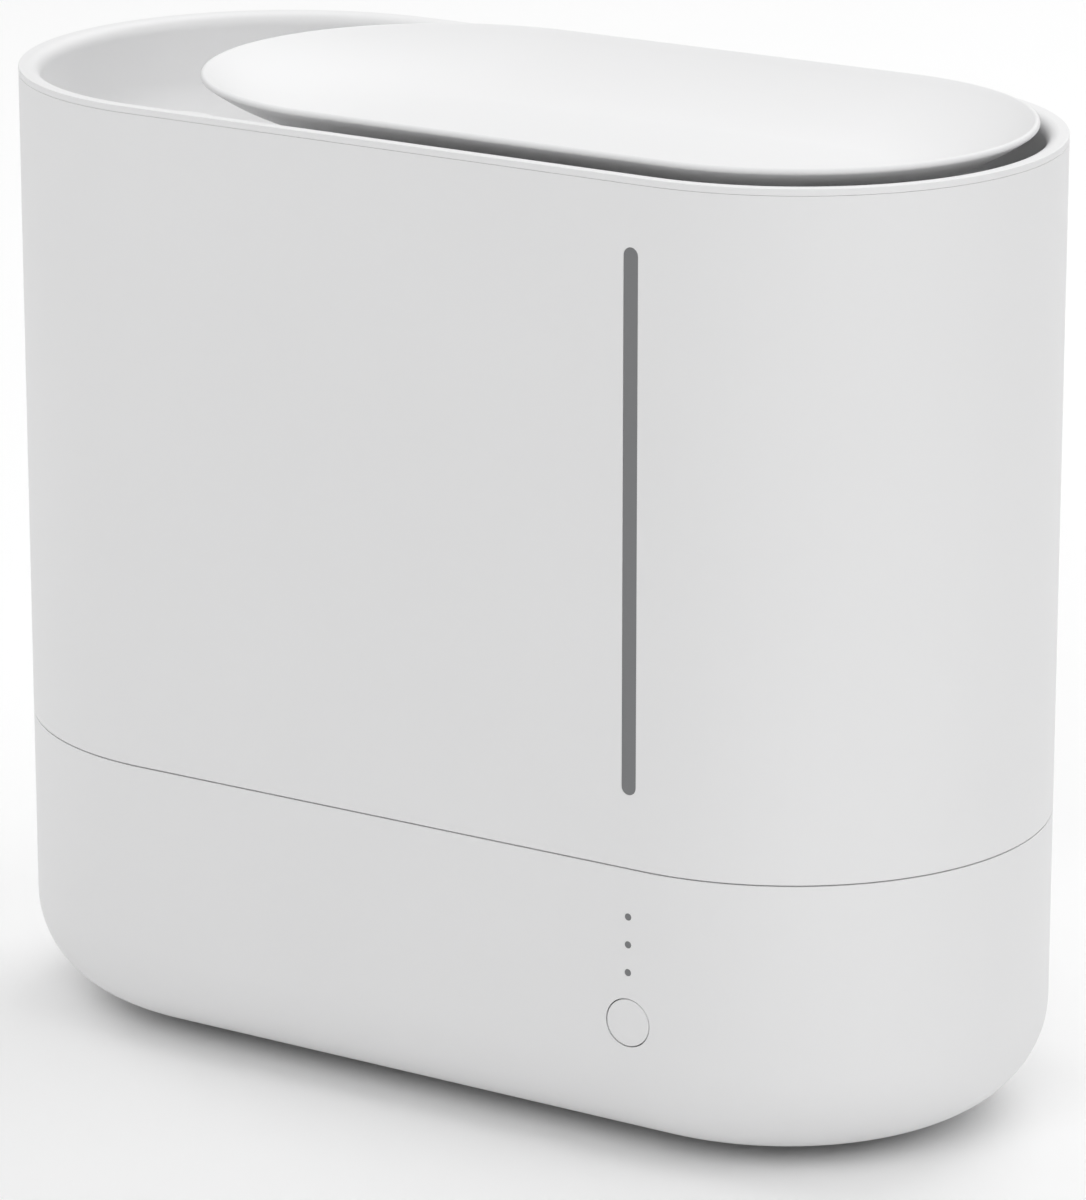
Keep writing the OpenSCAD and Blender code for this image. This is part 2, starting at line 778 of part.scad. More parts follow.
// Everything above the dish's middle surface, grown by a margin
module dish_space(grow) {
  translate([0, dish_centre_z - dish_curve - grow]) square([dish_flat, dish_curve + grow]);
  translate([dish_flat, dish_centre_z]) circle(r = dish_curve + grow);
}

// Shallow dish that closes the fill opening and leaves the mist crescent open
module lid_dish() {
  reach = (dish_curve + 5) / cos(dish_lean);
  color("white") round_plan(lid_half, lid_x) union() {
    intersection() {
      difference() {
        dish_space(lip_r);
        dish_space(-lip_r);
      }
      polygon([[0, dish_centre_z - dish_curve - 5], [0, dish_centre_z], [dish_flat, dish_centre_z],
               [dish_flat + reach * sin(dish_lean), dish_centre_z - dish_curve - 5]]);
    }
    translate([dish_edge_r, lip_z]) circle(r = lip_r);
  }
}

// Ring under the dish that drops into the fill neck
module lid_skirt() {
  color("white") round_plan(lid_half, lid_x) difference() {
    union() {
      band(skirt_r - 2.2, skirt_r, neck_top - 8, lip_z);
      band(skirt_r - 1, fill_r + 3, neck_top, neck_top + 1.8);
    }
    dish_space(lip_r);
    band(skirt_r - 0.8, skirt_r + 1, neck_top - 4.5, neck_top - 2.5);
  }
}

module lid_seal() {
  color("dimgray") round_plan(lid_half, lid_x)
    band(skirt_r - 0.8, fill_r - 0.3, neck_top - 4.5, neck_top - 2.5);
}

base_housing();
bottom_cover();
bottom_screws();
rubber_feet();
air_filter();
water_tray();
transducer_disc();
transducer_gasket();
transducer_clamp();
transducer_screws();
float_clip();
fan_housing();
fan_lid();
fan_stator();
fan_bearing();
fan_screws();
air_duct();
main_board();
heat_sink();
board_capacitors();
board_coil();
board_connectors();
reed_switch();
board_screws();
control_board();
control_screws();
tact_switch();
status_leds();
indicator_lenses();
dc_jack();
fan_lead();
disc_lead();
power_lead();
control_lead();
power_button();
switch_plunger();
fan_rotor();
fan_shaft();
float_ring();
float_magnet();
tank_shell();
tank_floor();
mist_chimney();
chimney_seal();
level_window();
valve_seat();
valve_cage();
valve_spring();
valve_plunger();
valve_seal();
top_cover();
lid_dish();
lid_skirt();
lid_seal();
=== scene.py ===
import math

import bmesh
import bpy
from mathutils import Matrix, Vector


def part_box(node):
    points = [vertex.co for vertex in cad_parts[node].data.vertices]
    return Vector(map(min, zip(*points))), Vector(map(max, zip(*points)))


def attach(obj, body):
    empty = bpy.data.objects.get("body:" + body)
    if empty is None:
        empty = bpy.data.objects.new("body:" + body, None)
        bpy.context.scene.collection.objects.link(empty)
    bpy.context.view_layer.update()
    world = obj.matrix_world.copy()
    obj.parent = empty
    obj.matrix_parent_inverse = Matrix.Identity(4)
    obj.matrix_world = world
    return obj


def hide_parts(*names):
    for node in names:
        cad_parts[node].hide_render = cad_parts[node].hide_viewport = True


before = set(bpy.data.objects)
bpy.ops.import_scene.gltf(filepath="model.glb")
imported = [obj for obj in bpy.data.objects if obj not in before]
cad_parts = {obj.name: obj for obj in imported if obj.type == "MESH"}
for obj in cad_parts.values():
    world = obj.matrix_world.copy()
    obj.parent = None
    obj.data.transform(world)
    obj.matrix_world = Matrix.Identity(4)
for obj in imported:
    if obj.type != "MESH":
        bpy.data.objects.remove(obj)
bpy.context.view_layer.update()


# ---------------------------------------------------------------------------
# Base housing
# The lower white shell, injection moulded in ABS with a fine satin texture.
# Its sides roll into a flat bottom, and the hatch closes it from below.

def place(node):
    """A CAD node's lowest and highest corner, in millimetres."""
    low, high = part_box(node)
    return low * 1000, high * 1000


def arc(x, z, r, start, end, steps):
    """Points of a section along an arc, with its angles in degrees."""
    turns = [math.radians(start + (end - start) * i / steps) for i in range(steps + 1)]
    return [(x + r * math.cos(a), z + r * math.sin(a)) for a in turns]


def obround(section, half, x=0.0, closed=True, runs=(), turns=96):
    """Sweeps a section of (distance out from the middle line, height) points round an obround.

    runs are the x positions on the straight sides where the mesh needs a column of its own.
    """
    bm = bmesh.new()
    verts = [bm.verts.new((x + half, -out, z)) for out, z in section]
    pairs = list(zip(verts, verts[1:])) + ([(verts[-1], verts[0])] if closed else [])
    sweep = verts + [bm.edges.new(pair) for pair in pairs]
    for side in (1, -1):
        turned = bmesh.ops.spin(bm, geom=sweep, cent=(x + side * half, 0, 0), axis=(0, 0, 1),
                                angle=math.pi, steps=turns)
        sweep = turned["geom_last"]
        here = x + side * half
        for stop in sorted(runs, reverse=side > 0) + [x - side * half]:
            edges = [g for g in sweep if isinstance(g, bmesh.types.BMEdge)]
            made = bmesh.ops.extrude_edge_only(bm, edges=edges)["geom"]
            moved = {g for g in made if isinstance(g, bmesh.types.BMVert)}
            bmesh.ops.translate(bm, vec=(stop - here, 0, 0), verts=list(moved))
            ends = [g for g in made if isinstance(g, bmesh.types.BMEdge) and set(g.verts) <= moved]
            sweep = list(moved) + ends
            here = stop
    bmesh.ops.remove_doubles(bm, verts=bm.verts, dist=0.001)
    return bm


def pierce(bm, side, depths, x, z, r, reach, tall=0.0):
    """Cuts a round or tall round-ended hole through the front (side -1) or back (side 1) wall.

    depths are how far the wall's two skins lie from the middle line, and reach is how far
    the patch of mesh that makes room for the hole extends from the hole's middle line.
    """
    rings = []
    for depth in depths:
        patch = [f for f in bm.faces
                 if abs(abs(f.calc_center_median().y) - depth) < 0.5
                 and f.calc_center_median().y * side > 0
                 and abs(f.normal.y) > 0.9
                 and abs(f.calc_center_median().x - x) < reach
                 and abs(f.calc_center_median().z - z) < reach + tall]
        inside = set(patch)
        rim = [e for f in patch for e in f.edges if len(set(e.link_faces) - inside) == 1]
        bmesh.ops.delete(bm, geom=patch, context="FACES")
        made = bmesh.ops.extrude_edge_only(bm, edges=[e for e in rim if e.is_valid])["geom"]
        for v in (g for g in made if isinstance(g, bmesh.types.BMVert)):
            middle = Vector((x, v.co.y, min(max(v.co.z, z - tall), z + tall)))
            v.co = middle + (v.co - middle).normalized() * r
            over = max(abs(v.co.x) - half, 0)
            v.co.y = side * math.sqrt(depth ** 2 - over ** 2)
        moved = {g for g in made if isinstance(g, bmesh.types.BMVert)}
        rings += [g for g in made if isinstance(g, bmesh.types.BMEdge) and set(g.verts) <= moved]
    bmesh.ops.bridge_loops(bm, edges=rings)


def turned(section, steps=48):
    """Turns a section of (radius, height) points about +Z."""
    bm = bmesh.new()
    verts = [bm.verts.new((r, 0, z)) for r, z in section]
    edges = [bm.edges.new(pair) for pair in zip(verts, verts[1:])]
    bmesh.ops.spin(bm, geom=verts + edges, cent=(0, 0, 0), axis=(0, 0, 1), angle=math.tau,
                   steps=steps, use_merge=True)
    bmesh.ops.remove_doubles(bm, verts=bm.verts, dist=0.0001)
    return bm


def put(bm, turn=Matrix(), at=(0, 0, 0)):
    """Turns a finished mesh and moves it to its place."""
    bmesh.ops.transform(bm, matrix=Matrix.Translation(at) @ turn, verts=bm.verts)
    return bm


def piece(name, bm, material, body, slot, *nodes, sharp=30):
    """Makes an object of a mesh in millimetres, and says what it rides on and stands for."""
    bmesh.ops.recalc_face_normals(bm, faces=bm.faces)
    bmesh.ops.scale(bm, vec=(0.001, 0.001, 0.001), verts=bm.verts)
    for f in bm.faces:
        f.smooth = True
    for e in bm.edges:
        e.smooth = e.calc_face_angle(0.0) < math.radians(sharp)
    mesh = bpy.data.meshes.new(name)
    bm.to_mesh(mesh)
    bm.free()
    mesh.materials.append(material)
    obj = bpy.data.objects.new(name, mesh)
    bpy.context.scene.collection.objects.link(obj)
    even = obj.modifiers.new("even shading", "WEIGHTED_NORMAL")
    even.keep_sharp = True
    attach(obj, body)
    if nodes:
        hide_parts(*nodes)
    return obj


class Signal:
    """One socket of a material, so that shader maths is written as plain expressions."""

    def __init__(self, tree, socket):
        self.tree = tree
        self.socket = socket

    def node(self, kind, settings=None, inputs=None, output=0):
        """Adds a node, sets what it is first, then its sockets, and returns one of its outputs."""
        made = self.tree.nodes.new(kind)
        for key, value in (settings or {}).items():
            if key == "stops":
                ramp = made.color_ramp.elements
                while len(ramp) < len(value):
                    ramp.new(0.5)
                for stop, (position, colour) in zip(ramp, value):
                    stop.position = position
                    stop.color = (*colour, 1.0)
            else:
                setattr(made, key, value)
        for key, value in (inputs or {}).items():
            if isinstance(value, Signal):
                self.tree.links.new(value.socket, made.inputs[key])
            else:
                made.inputs[key].default_value = value
        return Signal(self.tree, made.outputs[output])

    def maths(self, operation, *values):
        return self.node("ShaderNodeMath", {"operation": operation}, dict(enumerate(values)))

    def __add__(self, other):
        return self.maths("ADD", self, other)

    def __sub__(self, other):
        return self.maths("SUBTRACT", self, other)

    def __rsub__(self, other):
        return self.maths("SUBTRACT", other, self)

    def __mul__(self, other):
        return self.maths("MULTIPLY", self, other)

    __radd__ = __add__
    __rmul__ = __mul__


def finish(name, roughness, **constants):
    """A material with its shader's fixed values set. Returns it, its shader and its coordinates."""
    material = bpy.data.materials.new(name)
    material.use_nodes = True
    tree = material.node_tree
    shader = tree.nodes["Principled BSDF"]
    shader.inputs["Roughness"].default_value = roughness
    for key, value in constants.items():
        shader.inputs[key.replace("_", " ")].default_value = value
    coordinates = tree.nodes.new("ShaderNodeTexCoord")
    return material, shader, Signal(tree, coordinates.outputs["Object"])


def feed(shader, **signals):
    for key, signal in signals.items():
        signal.tree.links.new(signal.socket, shader.inputs[key.replace("_", " ")])


def moulded(name, colour, roughness, grain=0.03, **constants):
    """Moulded plastic: a spark-eroded grain, with a faint drift in its tone and its polish."""
    material, shader, spot = finish(name, roughness, **constants)
    drift = spot.node("ShaderNodeTexNoise", None, {"Vector": spot, "Scale": 9.0, "Detail": 2.0})
    pits = spot.node("ShaderNodeTexNoise", None, {"Vector": spot, "Scale": 2600.0, "Detail": 2.0})
    tone = [tuple(c * k for c in colour) for k in (0.985, 1.0)]
    tint = drift.node("ShaderNodeValToRGB", {"stops": [(0.35, tone[0]), (0.65, tone[1])]},
                      {"Fac": drift})
    bump = pits.node("ShaderNodeBump", None, {"Strength": grain, "Distance": 0.0001, "Height": pits})
    feed(shader, Base_Color=tint, Roughness=drift * 0.06 + (roughness - 0.03), Normal=bump)
    return material


base_low, base_high = place("base_housing")
end_r = base_high.y                          # radius of the body's rounded ends
half = base_high.x - end_r                   # from the middle to the centre of either end
base_z = base_low.z
seam_low = base_high.z
wall = 2.8
inner_r = end_r - wall
roll = 22.75                                 # radius between the sides and the bottom
seam_edge = 0.15                             # rounding of the edges at the seams
hatch_r = 34.3
jack_hole = 5.2
hatch_ledge = (30.0, base_z + 2.6, base_z + 5.3)
tray_ledge = (inner_r - 2.4, seam_low - 9.05, seam_low - 7.85)

button_low, button_high = place("power_button")
panel_x = (button_low.x + button_high.x) / 2
button_z = (button_low.z + button_high.z) / 2
dots_low, dots_high = place("indicator_lenses")
dots_mid = (dots_low.z + dots_high.z) / 2
dot_pitch = 6.4
dots_z = [dots_mid + i * dot_pitch for i in (-1, 0, 1)]
dot_hole = 0.84
button_hole = 5.62
jack_low, jack_high = place("dc_jack")
jack_x = (jack_low.x + jack_high.x) / 2
jack_z = (jack_low.z + jack_high.z) / 2

panel_columns = [panel_x + d for d in (-7.6, -5.7, -3.2, -1.6, -0.8, 0, 0.8, 1.6, 3.2)]
jack_columns = [jack_x + d for d in (-8, -6, -4, -2, 0, 2, 4, 6, 8)]
base_rows = sorted([z + d for z in dots_z for d in (-1.6, -0.8, 0, 0.8, 1.6)]
                   + [button_z + d for d in (-7.6, -5.7, -3.8, -1.9, 0, 1.9, 3.8, 5.7, 7.6)])

white = moulded("white_shell", (0.86, 0.86, 0.863), 0.5, Specular_IOR_Level=0.35)
base_section = (
    arc(end_r - seam_edge, seam_low - seam_edge, seam_edge, 90, 0, 4)
    + [(end_r, z) for z in reversed(base_rows)]
    + arc(end_r - roll, base_z + roll, roll, 0, -90, 32)
    + arc(hatch_r + 0.4, base_z + 0.4, 0.4, -90, -180, 4)
    + [(hatch_r, hatch_ledge[1]), (hatch_ledge[0], hatch_ledge[1]), (hatch_ledge[0], hatch_ledge[2]),
       (end_r - roll, hatch_ledge[2])]
    + arc(end_r - roll, base_z + roll, roll - wall, -90, 0, 16)
    + [(inner_r, z) for z in base_rows]
    + [(inner_r, tray_ledge[1]), (tray_ledge[0], tray_ledge[1]), (tray_ledge[0], tray_ledge[2]),
       (inner_r, tray_ledge[2]), (inner_r, seam_low)]
)
housing = obround(base_section, half, runs=panel_columns + jack_columns)
pierce(housing, -1, (end_r, inner_r), panel_x, button_z, button_hole, 7.6)
for z in dots_z:
    pierce(housing, -1, (end_r, inner_r), panel_x, z, dot_hole, 1.6)
pierce(housing, 1, (end_r, inner_r), jack_x, jack_z, jack_hole, 7.2)
piece("base_housing_shell", housing, white, "base", "white_shell", "base_housing")


# ---------------------------------------------------------------------------
# Bottom cover
# The hatch under the base, in a flatter white, with the fan's slots cut through it. Rubber
# feet are pressed into it, and a foam pad in its frame keeps dust out of the fan.

def dress(material, *nodes):
    """Gives CAD nodes their material."""
    for node in nodes:
        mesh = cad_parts[node].data
        mesh.materials.clear()
        mesh.materials.append(material)


def softened(node, material, body, slot, radius=0.25, sharp=30):
    """A copy of a CAD node with its corners rounded off, as its mould leaves them."""
    bm = bmesh.new()
    bm.from_mesh(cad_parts[node].data)
    bmesh.ops.scale(bm, vec=(1000, 1000, 1000), verts=bm.verts)
    bmesh.ops.remove_doubles(bm, verts=bm.verts, dist=0.002)
    bmesh.ops.dissolve_limit(bm, angle_limit=math.radians(0.5), verts=bm.verts, edges=bm.edges)
    corners = [e for e in bm.edges if e.calc_face_angle(0.0) > math.radians(sharp)]
    bmesh.ops.bevel(bm, geom=corners, offset=radius, segments=2, profile=0.5, affect="EDGES",
                    material=-1, clamp_overlap=True)
    return piece(node + "_moulding", bm, material, body, slot, node)


inner_white = moulded("inner_white", (0.76, 0.76, 0.76), 0.5, 0.05)
softened("bottom_cover", inner_white, "base", "inner_white")

rubber = moulded("dark_rubber", (0.035, 0.035, 0.037), 0.72, 0.25)
foot_low, foot_high = place("rubber_feet")
foot_r = 7
feet = turned(
    [(0, 0.4), (4.2, 0.4), (4.6, 0)]
    + arc(foot_r - 1, 1, 1, -90, 0, 6)
    + [(foot_r, foot_high.z), (0, foot_high.z)], 48)
foot = bpy.data.meshes.new("foot")
feet.to_mesh(foot)
feet.clear()
for x in (foot_low.x + foot_r, foot_high.x - foot_r):
    for y in (foot_low.y + foot_r, foot_high.y - foot_r):
        old = list(feet.verts)
        feet.from_mesh(foot)
        bmesh.ops.translate(feet, vec=(x, y, 0), verts=[v for v in feet.verts if v not in set(old)])
piece("pressed_in_feet", feet, rubber, "base", "dark_rubber", "rubber_feet")


def foam(name, colour):
    """Open-cell foam: pale struts, with painted shade darkening the pores between them."""
    material, shader, spot = finish(name, 0.95)
    cells = spot.node("ShaderNodeTexVoronoi", {"feature": "DISTANCE_TO_EDGE"},
                      {"Vector": spot, "Scale": 700.0})
    # The pores are painted near black, as painted shade for the depth of the open cells.
    tint = cells.node("ShaderNodeValToRGB", {"stops": [(0.05, colour), (0.3, (0.01, 0.01, 0.01))]},
                      {"Fac": cells})
    bump = cells.node("ShaderNodeBump", None, {"Strength": 0.8, "Distance": 0.0006,
                                               "Height": 1 - cells})
    feed(shader, Base_Color=tint, Normal=bump)
    return material


dress(foam("foam", (0.12, 0.12, 0.13)), "air_filter")


# ---------------------------------------------------------------------------
# Screws
# Zinc-plated steel, with a cross recess pressed into a low domed head. The same screw holds
# the covers, the clamp under the misting disc, the fan and both boards, in several sizes.

def metal(name, colour, roughness, stretch=(1, 1, 1), depth=0.04):
    """Bare metal, with fine lines that run along the axis that is stretched least."""
    material, shader, spot = finish(name, roughness, Metallic=1.0)
    lie = spot.node("ShaderNodeMapping", None, {"Vector": spot, "Scale": stretch})
    lines = lie.node("ShaderNodeTexNoise", None, {"Vector": lie, "Scale": 900.0, "Detail": 3.0})
    stain = spot.node("ShaderNodeTexNoise", None, {"Vector": spot, "Scale": 120.0, "Detail": 2.0})
    dull = tuple(c * 0.82 for c in colour)
    tint = stain.node("ShaderNodeValToRGB", {"stops": [(0.35, dull), (0.6, colour)]}, {"Fac": stain})
    bump = lines.node("ShaderNodeBump", None, {"Strength": depth, "Distance": 0.0001,
                                               "Height": lines})
    feed(shader, Base_Color=tint, Roughness=lines * 0.2 + (roughness - 0.1), Normal=bump)
    return material


def screw(head_r, head_t, shank_r, length):
    """A screw with its head's underside at zero and its shank along -Z."""
    bm = bmesh.new()
    recess = head_r * 0.55
    bmesh.ops.create_grid(bm, x_segments=6, y_segments=6, size=recess)
    bmesh.ops.translate(bm, vec=(0, 0, head_t), verts=bm.verts)
    cross = [f for f in bm.faces if min(abs(f.calc_center_median().x), abs(f.calc_center_median().y))
             < recess / 3 and f.calc_center_median().xy.length < recess]
    rim = [e for e in bm.edges if e.is_boundary]
    sunk = bmesh.ops.extrude_face_region(bm, geom=cross)["geom"]
    bmesh.ops.delete(bm, geom=cross, context="FACES_ONLY")
    for v in (g for g in sunk if isinstance(g, bmesh.types.BMVert)):
        v.co = (v.co.x * 0.6, v.co.y * 0.6, head_t * 0.35)
    for r, z in ((head_r * 0.85, head_t * 0.92), (head_r, head_t * 0.6), (head_r, 0.05),
                 (head_r - 0.05, 0), (shank_r, 0), (shank_r, 1 - length), (0.3, -length)):
        made = bmesh.ops.extrude_edge_only(bm, edges=rim)["geom"]
        moved = {g for g in made if isinstance(g, bmesh.types.BMVert)}
        for v in moved:
            v.co = (*(v.co.xy.normalized() * r), z)
        rim = [g for g in made if isinstance(g, bmesh.types.BMEdge) and set(g.verts) <= moved]
    bmesh.ops.holes_fill(bm, edges=rim, sides=0)
    bmesh.ops.remove_doubles(bm, verts=bm.verts, dist=0.0001)
    return bm


def join(bm, other):
    """Adds one mesh in the making to another."""
    part = bpy.data.meshes.new("part")
    other.to_mesh(part)
    other.free()
    bm.from_mesh(part)
    bpy.data.meshes.remove(part)


zinc = metal("screw_steel", (0.72, 0.73, 0.72), 0.32)
upside_down = Matrix.Rotation(math.pi, 4, "X")
clamp_x = -100                                # middle of the clamp, and its screw circle
clamp_r = 14.6
clamp_turns = [math.radians(a) for a in (90, 210, 330)]
screw_jobs = {                                # head and shank, which way it points, and where
    "bottom_screws": ((2.8, 1.6, 1.5, 12), upside_down, "low",
                      [(x, y) for x in (-84, 84) for y in (-14, 14)]),
    "transducer_screws": ((2.4, 1.4, 0.9, 4), upside_down, "low",
                          [(clamp_x + clamp_r * math.cos(a), clamp_r * math.sin(a)) for a in clamp_turns]),
    "fan_screws": ((2.8, 1.6, 1.5, 8), Matrix(), "high", [(-5.5, 22.5), (-5.5, -22.5), (-50.5, 22.5)]),
    "board_screws": ((2.6, 1.4, 1.1, 6.6), Matrix(), "high",
                     [(x, y) for x in (24, 72) for y in (-26, 26)]),
}
for node, (sizes, turn, end, spots) in screw_jobs.items():
    low, high = place(node)
    seat = low.z + sizes[1] if end == "low" else high.z - sizes[1]
    screws = bmesh.new()
    for x, y in spots:
        join(screws, put(screw(*sizes), turn, (x, y, seat)))
    piece(node.replace("_", "_crosshead_"), screws, zinc, "base", "screw_steel", node)


# ---------------------------------------------------------------------------
# Water tray
# The moulding that closes the base from above and carries the tank. Its well holds the
# misting disc, clamped from below in a rubber ring, and its post guides the float.

softened("water_tray", inner_white, "base", "inner_white", 0.3)
softened("float_clip", inner_white, "base", "inner_white", 0.15)
softened("float_ring", inner_white, "float", "inner_white", 0.5)
dress(rubber, "transducer_gasket")
dress(metal("clamp_steel", (0.62, 0.62, 0.61), 0.36, (0.06, 1, 1), 0.1), "transducer_clamp")
dress(metal("magnet", (0.3, 0.3, 0.31), 0.45), "float_magnet")

# The disc is brass, with its round silvered electrode in the middle of each face.
disc_low, disc_high = place("transducer_disc")
disc_mid = (disc_low + disc_high) / 2
brass, brass_shader, spot = finish("piezo_brass", 0.34, Metallic=1.0)
centred = spot.node("ShaderNodeMapping", None, {"Vector": spot, "Location": tuple(-disc_mid * 0.001)})
from_middle = centred.node("ShaderNodeVectorMath", {"operation": "LENGTH"}, {0: centred}, "Value")
tint = from_middle.node("ShaderNodeValToRGB",
                        {"stops": [(0.0068, (0.74, 0.73, 0.70)), (0.0071, (0.62, 0.44, 0.18))]},
                        {"Fac": from_middle})
scratch = spot.node("ShaderNodeTexNoise", None, {"Vector": spot, "Scale": 1500.0, "Detail": 2.0})
feed(brass_shader, Base_Color=tint, Roughness=scratch * 0.2 + 0.24)
dress(brass, "transducer_disc")


# ---------------------------------------------------------------------------
# Fan
# A radial blower in black glass-filled nylon. The rotor's cup turns over four wound poles,
# on a steel shaft in a bronze sleeve, and an elbow in white ABS leads the air upwards.

black = moulded("black_plastic", (0.022, 0.022, 0.024), 0.48, 0.12)
softened("fan_housing", black, "base", "black_plastic", 0.25)
softened("fan_lid", black, "base", "black_plastic", 0.25)
softened("fan_rotor", black, "rotor", "black_plastic", 0.12)
dress(zinc, "fan_shaft")
dress(metal("sleeve_bronze", (0.60, 0.42, 0.20), 0.42), "fan_bearing")
softened("air_duct", inner_white, "base", "inner_white", 0.3)


def wound(name, colour):
    """Enamelled copper wire, laid turn by turn in even rows, with painted shade in the grooves between the
    turns.
    """
    material, shader, spot = finish(name, 0.3, Metallic=0.85, Coat_Weight=0.6, Coat_Roughness=0.12)
    turns = spot.node("ShaderNodeTexWave", {"wave_type": "BANDS", "bands_direction": "DIAGONAL"},
                      {"Vector": spot, "Scale": 620.0, "Distortion": 0.3})
    # Painted shade: the darker part of each band stands for the shade in the groove between two turns.
    shade = tuple(c * 0.45 for c in colour)
    tint = turns.node("ShaderNodeValToRGB", {"stops": [(0.1, shade), (0.6, colour)]}, {"Fac": turns})
    bump = turns.node("ShaderNodeBump", None, {"Strength": 0.7, "Distance": 0.0002, "Height": turns})
    feed(shader, Base_Color=tint, Normal=bump)
    return material


copper = wound("winding", (0.56, 0.23, 0.09))
dress(copper, "fan_stator", "board_coil")


# ---------------------------------------------------------------------------
# Main board
# Glass-epoxy board under green solder mask, with its tracks showing through. It carries the
# driver's heat sink, the choke, two capacitors and the sockets, and lies on the bottom cover.

def tracked(name, across):
    """Solder mask over copper tracks that run along the board's two edges, with tinned pads."""
    material, shader, spot = finish(name, 0.38, Coat_Weight=0.4, Coat_Roughness=0.2)
    flat = spot.node("ShaderNodeMapping", None, {"Vector": spot, "Scale": across})
    routes = flat.node("ShaderNodeTexVoronoi", {"feature": "F1", "distance": "MANHATTAN"},
                       {"Vector": flat, "Scale": 260.0, "Randomness": 0.55})
    tracks = routes.node("ShaderNodeTexWave", {"wave_type": "RINGS", "rings_direction": "SPHERICAL"},
                         {"Vector": flat, "Scale": 40.0, "Distortion": 2.0})
    mask = (1 - routes) * 0.7 + tracks * 0.3
    tint = mask.node("ShaderNodeValToRGB",
                     {"stops": [(0.42, (0.006, 0.06, 0.022)), (0.47, (0.02, 0.15, 0.05)),
                                (0.86, (0.02, 0.15, 0.05)), (0.9, (0.62, 0.6, 0.55))]}, {"Fac": mask})
    bump = mask.node("ShaderNodeBump", None, {"Strength": 0.2, "Distance": 0.0001, "Height": mask})
    feed(shader, Base_Color=tint, Normal=bump)
    return material


dress(tracked("circuit_board", (1, 1, 0.01)), "main_board")
dress(metal("heat_sink", (0.75, 0.75, 0.76), 0.4, (1, 0.04, 1), 0.15), "heat_sink")

# Capacitors: a shrink sleeve with a pale stripe, open over the aluminium can's top.
_, can_high = place("board_capacitors")
sleeve, sleeve_shader, spot = finish("capacitor_sleeve", 0.35, Coat_Weight=0.3)
height = spot.node("ShaderNodeSeparateXYZ", None, {"Vector": spot}, "Z")
side = spot.node("ShaderNodeSeparateXYZ", None, {"Vector": spot}, "X")
on_top = height.maths("GREATER_THAN", height, can_high.z * 0.001 - 0.0003)
on_stripe = side.maths("GREATER_THAN", side, can_high.x * 0.001 - 0.0016)
shade = on_top.node("ShaderNodeValToRGB",
                    {"stops": [(0.2, (0.012, 0.014, 0.03)), (0.8, (0.6, 0.6, 0.61))]},
                    {"Fac": on_stripe.maths("MAXIMUM", on_stripe * 0.7, on_top)})
feed(sleeve_shader, Base_Color=shade, Metallic=on_top * 0.9)
dress(sleeve, "board_capacitors")

ivory = moulded("connector", (0.74, 0.70, 0.60), 0.42, 0.04)
softened("board_connectors", ivory, "base", "connector", 0.2)


def cast_resin(name, colour, roughness, clear):
    """Clear or milky resin or glass, faintly streaked."""
    material, shader, spot = finish(name, roughness, Transmission_Weight=clear, IOR=1.5)
    streaks = spot.node("ShaderNodeTexNoise", None, {"Vector": spot, "Scale": 400.0, "Detail": 2.0})
    pale = tuple(min(c * 1.1, 1) for c in colour)
    tint = streaks.node("ShaderNodeValToRGB", {"stops": [(0.4, colour), (0.7, pale)]}, {"Fac": streaks})
    feed(shader, Base_Color=tint, Roughness=streaks * 0.05 + roughness)
    return material


dress(cast_resin("reed_glass", (0.62, 0.72, 0.66), 0.06, 0.6), "reed_switch")


# ---------------------------------------------------------------------------
# Front panel
# A small upright board behind the front wall. It carries the switch that the button presses
# and three lamps, whose light pipes end flush in the front as smoked grey dots.

dress(tracked("control_board_mask", (1, 0.01, 1)), "control_board")
low, high = place("control_screws")
facing_in = Matrix.Rotation(math.radians(-90), 4, "X")
panel_screws = bmesh.new()
for x in (low.x + 2.4, high.x - 2.4):
    join(panel_screws, put(screw(2.4, 1.4, 1.0, 7), facing_in, (x, high.y - 1.4, (low.z + high.z) / 2)))
piece("control_crosshead_screws", panel_screws, zinc, "base", "screw_steel", "control_screws")
softened("tact_switch", black, "base", "black_plastic", 0.2)
dress(black, "switch_plunger")
dress(cast_resin("led_lens", (0.80, 0.79, 0.70), 0.2, 0.3), "status_leds")

smoked = moulded("window_grey", (0.197, 0.2, 0.205), 0.36, 0.01)
dots = bmesh.new()
dot_r = dot_hole - 0.02
dot_edge = 0.08
collar_r = dot_r + 0.15                      # the step that rests behind the wall
skin_z = inner_r - end_r                     # depths behind the front face
pipe_end = -dots_high.y - end_r
face_out = Matrix.Rotation(math.radians(90), 4, "X")     # +Z of a turned piece points to the front
for z in dots_z:
    pipe = turned([(0, 0)] + arc(dot_r - dot_edge, -dot_edge, dot_edge, 90, 0, 3)
                  + [(dot_r, skin_z), (collar_r, skin_z), (collar_r, pipe_end), (0, pipe_end)], 32)
    join(dots, put(pipe, face_out, (panel_x, -end_r, z)))
piece("light_pipes", dots, smoked, "base", "window_grey", "indicator_lenses")


# ---------------------------------------------------------------------------
# Power button
# A round cap in the same white, flush with the front, on a stem that presses the switch.
# It is turned about its own axis and stands a hair clear of its hole.

cap_r = 5.36
cap_edge = 0.3
flange_r = 7                                 # the flange that stops it behind the wall
flange_z = (-3.2, -4.4)
stem_r = 2.4
stem_z = -7.3
button = turned(
    [(0, 0)]
    + arc(cap_r - cap_edge, -cap_edge, cap_edge, 90, 0, 4)
    + [(cap_r, flange_z[0]), (flange_r, flange_z[0]), (flange_r, flange_z[1]), (stem_r, flange_z[1]),
       (stem_r, stem_z), (0, stem_z)], 64)
piece("power_button_cap", put(button, face_out, (panel_x, -end_r, button_z)), white, "button",
      "white_shell", "power_button")


# ---------------------------------------------------------------------------
# Power inlet and leads
# A black barrel socket in the back wall, and the leads between the boards, the fan and the
# misting disc: stranded wire in soft PVC.

